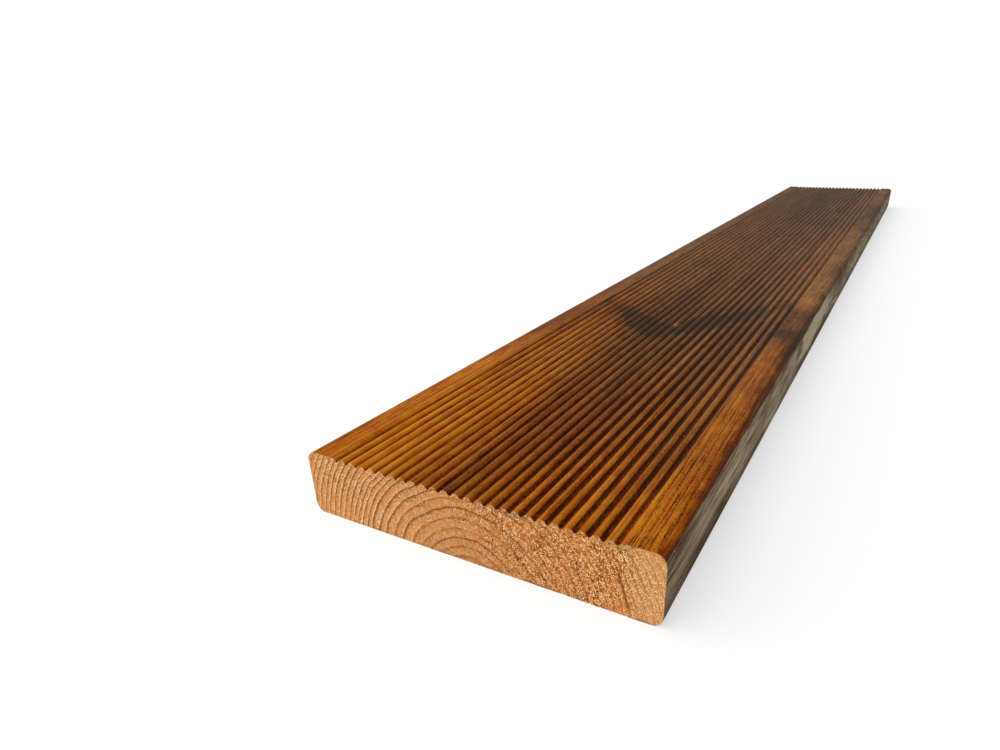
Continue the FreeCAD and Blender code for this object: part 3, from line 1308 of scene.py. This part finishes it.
@dataclass
class DeckingBoard:
    """The one piece: a length of moulded softwood with two sawn ends."""

    length: float
    section: Section
    rings: GrowthRings = field(default_factory=GrowthRings)
    wear: OilWearAndPaintedLight = field(default_factory=OilWearAndPaintedLight)
    saw: SawMarks = field(default_factory=SawMarks)
    oiled: OiledSoftwood = field(default_factory=OiledSoftwood)
    sawn: SawnEndGrain = field(default_factory=SawnEndGrain)
    flat_map: FlatMap = field(default_factory=FlatMap)
    name: str = "oiled_board"
    # The points on the sawn ends: their spacing, how much closer their rows are, how far each one is shaken
    # out of its row, and how far they stay clear of the outline, all three as shares of the spacing.
    grain: float = 0.44
    row_share: float = 0.87
    shake: float = 0.22
    clearance: float = 0.6
    shake_seed: int = 5
    # How deep the saw's marks go.
    bite: float = 0.35
    # How far before and after the branch the sections stand closer together.
    close_reach: Span = (26, 114)
    # How many sections there are before, round and after the branch, and in the far half.
    station_counts: tuple[int, int, int, int] = (18, 35, 18, 40)

    @property
    def near(self) -> float:
        """Y of the near end."""
        return -self.length / 2

    def stations(self) -> Numbers:
        """Spaces the sections out along the board.

        Returns:
            Y of each section, from the near end to the far one.
        """
        before, after = self.close_reach
        marks = (0, self.rings.branch - before, self.rings.branch + after, self.length / 2, self.length)
        spans = zip(marks, marks[1:], self.station_counts)
        parts = [np.linspace(start, end, steps, endpoint=False) for start, end, steps in spans]
        return np.concatenate([*parts, [self.length]]) + self.near

    def face_points(self, outline: Numbers) -> Numbers:
        """Spreads points inside an end face.

        Args:
            outline: The section's outline.

        Returns:
            X and Z of each point, clear of the outline.
        """
        half, gap = self.section.half, self.clearance * self.grain
        upper = outline[outline[:, 1] > self.section.thickness / 2]
        lower = outline[outline[:, 1] < self.section.thickness / 2]
        upper, lower = upper[np.argsort(upper[:, 0])], lower[np.argsort(lower[:, 0])]
        columns = np.arange(-half + gap, half - gap, self.grain)
        rows = np.arange(gap, self.section.thickness - gap, self.grain * self.row_share)
        x, z = np.meshgrid(columns, rows)
        x = x + np.where(np.arange(len(rows)) % 2, self.grain / 2, 0)[:, None]
        points = np.stack([x.ravel(), z.ravel()], axis=1)
        shaken = np.random.default_rng(self.shake_seed).uniform(-self.shake, self.shake, points.shape)
        points += shaken * self.grain
        top = np.interp(points[:, 0], upper[:, 0], upper[:, 1])
        bottom = np.interp(points[:, 0], lower[:, 0], lower[:, 1])
        inside = (points[:, 1] < top - gap) & (points[:, 1] > bottom + gap)
        return points[inside & (abs(points[:, 0]) < half - gap)]

    def all_points(self, outline: Numbers, inner: Numbers) -> Numbers:
        """Places every vertex before the saw's marks.

        Args:
            outline: The section's outline.
            inner: The points inside an end face.

        Returns:
            Rows of X, Y and Z: the outline at each station, then the inner points of the near end and of the
            far one.
        """
        stations = self.stations()
        tube = np.empty((len(stations), len(outline), 3))
        tube[:, :, [0, 2]] = outline
        tube[:, :, 1] = stations[:, None]
        ends = [np.stack([inner[:, 0], np.full(len(inner), y), inner[:, 1]], axis=1)
                for y in (stations[0], stations[-1])]
        return np.concatenate([tube.reshape(-1, 3), *ends])

    def long_faces(self, around: int, rows: int) -> Numbers:
        """Joins the outlines along the board.

        Args:
            around: How many points an outline has.
            rows: How many outlines there are.

        Returns:
            Rows of four vertex numbers.
        """
        here = np.arange(rows - 1)[:, None] * around + np.arange(around)
        beside = np.roll(here, -1, axis=1)
        return np.stack([here, here + around, beside + around, beside], axis=-1).reshape(-1, 4)

    def end_faces(self, outline: Numbers, inner: Numbers, rows: int) -> tuple[Numbers, Numbers]:
        """Fills the two ends with triangles.

        Args:
            outline: The section's outline.
            inner: The points inside an end face.
            rows: How many outlines there are along the board.

        Returns:
            Rows of three vertex numbers, for the near end and for the far one.
        """
        around = len(outline)
        rim, middle = np.arange(around), rows * around + np.arange(len(inner))
        flat = [Vector(point) for point in np.concatenate([outline, inner])]
        edges = [(number, (number + 1) % around) for number in range(around)]
        triangles = np.array(delaunay_2d_cdt(flat, edges, [rim.tolist()], KEEP_INSIDE, SAME_POINT)[2])
        near = np.concatenate([rim, middle])
        far = np.concatenate([rim + (rows - 1) * around, middle + len(inner)])
        return near[triangles], far[triangles][:, ::-1]

    def map_faces(self, mesh: bpy.types.Mesh, outline: Numbers, tube: int, near_end: int) -> None:
        """Lays the board out flat on its map.

        Args:
            mesh: The board's mesh, with the long faces first, then the near end and the far end.
            outline: The section's outline.
            tube: How many faces the long sides have.
            near_end: How many faces the near end has.
        """
        chart, around = self.flat_map, len(outline)
        steps = np.hypot(*np.diff(np.vstack([outline, outline[:1]]), axis=0).T)
        steps[:self.section.underside_steps] *= chart.underside_share
        run = np.concatenate([[0], np.cumsum(steps)])
        run /= run[-1]
        corners = np.empty(len(mesh.loops), int)
        mesh.loops.foreach_get("vertex_index", corners)
        place = np.empty(len(mesh.vertices) * 3)
        mesh.vertices.foreach_get("co", place)
        place = place.reshape(-1, 3)[corners] / MM
        layout = np.empty((len(corners), 2))
        long = 4 * tube
        spot = corners[:long].reshape(-1, 4) % around
        closing = (spot == 0) & (spot == around - 1).any(axis=1)[:, None]
        across = np.where(closing, 1.0, run[spot])
        y = place[:long, 1].reshape(-1, 4)
        far = (y.mean(axis=1) > 0)[:, None]
        layout[:long, 0] = (chart.margin + chart.strip_width * across + chart.strip_step * far).ravel()
        layout[:long, 1] = (chart.margin + chart.strip_length * np.abs(y) / (self.length / 2)).ravel()
        start = long + 3 * near_end
        for low, high, base in ((long, start, chart.near_end), (start, len(corners), chart.far_end)):
            layout[low:high, 0] = chart.margin + chart.end_scale * (place[low:high, 0] + self.section.half)
            layout[low:high, 1] = base + chart.end_scale * place[low:high, 2]
        uv = mesh.uv_layers.new(name=chart.name)
        uv.data.foreach_set("uv", (layout / chart.side).ravel())

    def dress(self, mesh: bpy.types.Mesh, layers: LayerValues, tube: int, rims: tuple[range, range]) -> None:
        """Gives the mesh its finishes, its sharp sawn edges and the measures that the finishes read.

        Args:
            mesh: The board's mesh, with the long faces first.
            layers: The measures, one to a vertex.
            tube: How many faces the long sides have.
            rims: The vertices round the near end and round the far one.
        """
        mesh.materials.append(self.oiled.material())
        mesh.materials.append(self.sawn.material())
        slots = np.full(len(mesh.polygons), Slot.SAWN.value)
        slots[:tube] = Slot.OILED.value
        mesh.polygons.foreach_set("material_index", slots)
        mesh.polygons.foreach_set("use_smooth", np.ones(len(mesh.polygons), bool))
        pairs = np.empty(len(mesh.edges) * 2, int)
        mesh.edges.foreach_get("vertices", pairs)
        pairs = pairs.reshape(-1, 2)
        sharp = np.zeros(len(pairs), bool)
        for rim in rims:
            sharp |= ((pairs >= rim.start) & (pairs < rim.stop)).all(axis=1)
        mesh.edges.foreach_set("use_edge_sharp", sharp)
        for which, values in layers.items():
            kind, name = ("FLOAT_VECTOR", "vector") if values.ndim == 2 else ("FLOAT", "value")
            mesh.attributes.new(which.value, kind, "POINT").data.foreach_set(name, values.ravel())

    def build(self) -> bpy.types.Object:
        """Makes the board's mesh with its measures, map and finishes.

        Returns:
            The board.
        """
        outline = self.section.outline()
        inner = self.face_points(outline)
        around, rows = len(outline), len(self.stations())
        points = self.all_points(outline, inner)
        surface = Surface(points, self.section, self.near)
        layers = self.saw.layers(surface, self.rings) | self.wear.layers(surface, self.rings)
        on_end = abs(points[:, 1]) > self.length / 2 - SAME_POINT
        depth = self.bite * (1 - layers[Layer.RELIEF][on_end])
        shown = points.copy()
        shown[on_end, 1] -= np.sign(points[on_end, 1]) * depth

        quads = self.long_faces(around, rows)
        near_faces, far_faces = self.end_faces(outline, inner, rows)
        mesh = bpy.data.meshes.new(self.name)
        faces = quads.tolist() + near_faces.tolist() + far_faces.tolist()
        mesh.from_pydata((shown * MM).tolist(), [], faces)
        self.dress(mesh, layers, len(quads), (range(around), range((rows - 1) * around, rows * around)))
        self.map_faces(mesh, outline, len(quads), len(near_faces))
        mesh.update()
        mesh.validate()
        board = bpy.data.objects.new(self.name, mesh)
        bpy.context.scene.collection.objects.link(board)
        return board


@dataclass(frozen=True)
class Studio:
    """The pale floor, the soft light and the camera."""

    floor: str = "#fefefe"
    # How far the floor reaches to each side, in metres.
    reach: float = 40.0
    # How far the paper reads as plain white rather than by its own light, so that the shadow stays faint.
    glow: float = 0.6
    backdrop: str = "#ffffff"
    # The light from all round: white paper low down, and a dim room above it.
    walls: tuple[tuple[float, float], ...] = ((0.0, 1.0), (0.13, 1.0), (0.3, 0.18), (1.0, 0.15))
    # The lamp's strength, how wide it looks in degrees, and where it stands.
    sun: float = 3.6
    softness: float = 90.0
    toward: tuple[float, float, float] = (-0.5, -0.5, 0.8)
    # The camera, fitted to the photograph: its place in millimetres from the middle of the near end's lower
    # side, and its turns in degrees.
    stand: tuple[float, float, float] = (115.96, -149.31, 142.16)
    yaw: float = -30.405
    pitch: float = 25.754
    roll: float = -1.749
    # Its focal length and the point straight ahead, in pixels of the photograph.
    focal: float = 651.09
    centre: Span = (530.71, 427.52)
    # The width of its sensor in millimetres, and the nearest distance that it shows, in metres.
    sensor: float = 36.0
    nearest: float = 0.005

    def backdrop_rays(self, tree: bpy.types.NodeTree) -> bpy.types.Node:
        """Picks out the rays that show the backdrop.

        Args:
            tree: The node tree that asks.

        Returns:
            A node that gives 1 for what the camera, gloss or glass sees, and 0 for light that falls on
            things.
        """
        path = add_node(tree, "ShaderNodeLightPath")
        seen = path.outputs["Is Camera Ray"]
        for kind in ("Is Glossy Ray", "Is Transmission Ray"):
            seen = add_node(tree, "ShaderNodeMath", {0: seen, 1: path.outputs[kind]}, operation="MAXIMUM")
        return seen

    def build_floor(self) -> None:
        """Makes a wide plane of white paper under the board."""
        mesh = bpy.data.meshes.new("studio_floor")
        corners = [(x * self.reach, y * self.reach, 0) for x, y in ((-1, -1), (1, -1), (1, 1), (-1, 1))]
        mesh.from_pydata(corners, [], [(0, 1, 2, 3)])
        material = empty_material("studio_paper")
        tree = material.node_tree
        share = add_node(tree, "ShaderNodeMath", {0: self.backdrop_rays(tree), 1: self.glow},
                         operation="MULTIPLY")
        paper = add_node(tree, "ShaderNodeBsdfDiffuse", {"Color": linear(self.floor)})
        white = add_node(tree, "ShaderNodeEmission", {"Color": linear(self.floor), "Strength": 1.0})
        ground = add_node(tree, "ShaderNodeMixShader", {0: share, 1: paper, 2: white})
        add_node(tree, "ShaderNodeOutputMaterial", {"Surface": ground})
        mesh.materials.append(material)
        floor = bpy.data.objects.new("studio_floor", mesh)
        bpy.context.scene.collection.objects.link(floor)

    def build_light(self) -> None:
        """Makes the surroundings and one large soft lamp on the left."""
        world = bpy.data.worlds.new("studio_world")
        bpy.context.scene.world = world
        world.use_nodes = True
        tree = world.node_tree
        tree.nodes.clear()
        place = add_node(tree, "ShaderNodeTexCoord").outputs["Generated"]
        height = add_node(tree, "ShaderNodeSeparateXYZ", {0: place}).outputs["Z"]
        walls = add_node(tree, "ShaderNodeValToRGB", {"Fac": height}, stops=self.walls)
        paper = add_node(tree, "ShaderNodeMix", {
            MIX_SHARE: self.backdrop_rays(tree), MIX_FROM: walls, MIX_TO: linear(self.backdrop)},
            data_type="RGBA")
        sky = add_node(tree, "ShaderNodeBackground", {"Color": paper.outputs[MIX_RESULT], "Strength": 1.0})
        add_node(tree, "ShaderNodeOutputWorld", {"Surface": sky})
        lamp = bpy.data.lights.new("soft_box", "SUN")
        lamp.energy = self.sun
        lamp.angle = math.radians(self.softness)
        box = bpy.data.objects.new("soft_box", lamp)
        box.rotation_euler = Vector(self.toward).to_track_quat("Z", "Y").to_euler()
        bpy.context.scene.collection.objects.link(box)

    def build_camera(self, near: float) -> None:
        """Makes the camera at the photograph's own place.

        Args:
            near: Y of the board's near end, in millimetres.
        """
        yaw, pitch, roll = (math.radians(angle) for angle in (self.yaw, self.pitch, self.roll))
        ahead = Vector((math.sin(yaw) * math.cos(pitch), math.cos(yaw) * math.cos(pitch), -math.sin(pitch)))
        level = Vector((math.cos(yaw), -math.sin(yaw), 0))
        upright = level.cross(ahead)
        right = math.cos(roll) * level + math.sin(roll) * upright
        up = -math.sin(roll) * level + math.cos(roll) * upright
        data = bpy.data.cameras.new("photo_camera")
        data.sensor_width = self.sensor
        data.lens = self.focal / IMAGE_WIDTH * data.sensor_width
        data.shift_x = (IMAGE_WIDTH / 2 - self.centre[0]) / IMAGE_WIDTH
        data.shift_y = (self.centre[1] - IMAGE_HEIGHT / 2) / IMAGE_WIDTH
        data.clip_start = self.nearest
        camera = bpy.data.objects.new("photo_camera", data)
        camera.matrix_world = Matrix((right, up, -ahead)).transposed().to_4x4()
        camera.location = Vector((self.stand[0], near + self.stand[1], self.stand[2])) * MM
        bpy.context.scene.collection.objects.link(camera)
        bpy.context.scene.camera = camera


def main() -> None:
    """Builds the board on its floor and reports each piece."""
    logging.basicConfig(level=logging.INFO, format="%(name)s: %(message)s")
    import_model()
    low, high = (Vector(corner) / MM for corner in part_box("decking_board"))
    bpy.context.scene.view_settings.view_transform = "Standard"
    board = DeckingBoard(high.y - low.y, Section(high.x - low.x, high.z - low.z))
    piece = board.build()
    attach(piece, "root")
    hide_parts("decking_board")
    triangles = sum(len(face.vertices) - 2 for face in piece.data.polygons)
    LOG.info("%s: %d triangles", piece.name, triangles)
    studio = Studio()
    studio.build_floor()
    studio.build_light()
    studio.build_camera(board.near)


if __name__ == "__main__":
    main()
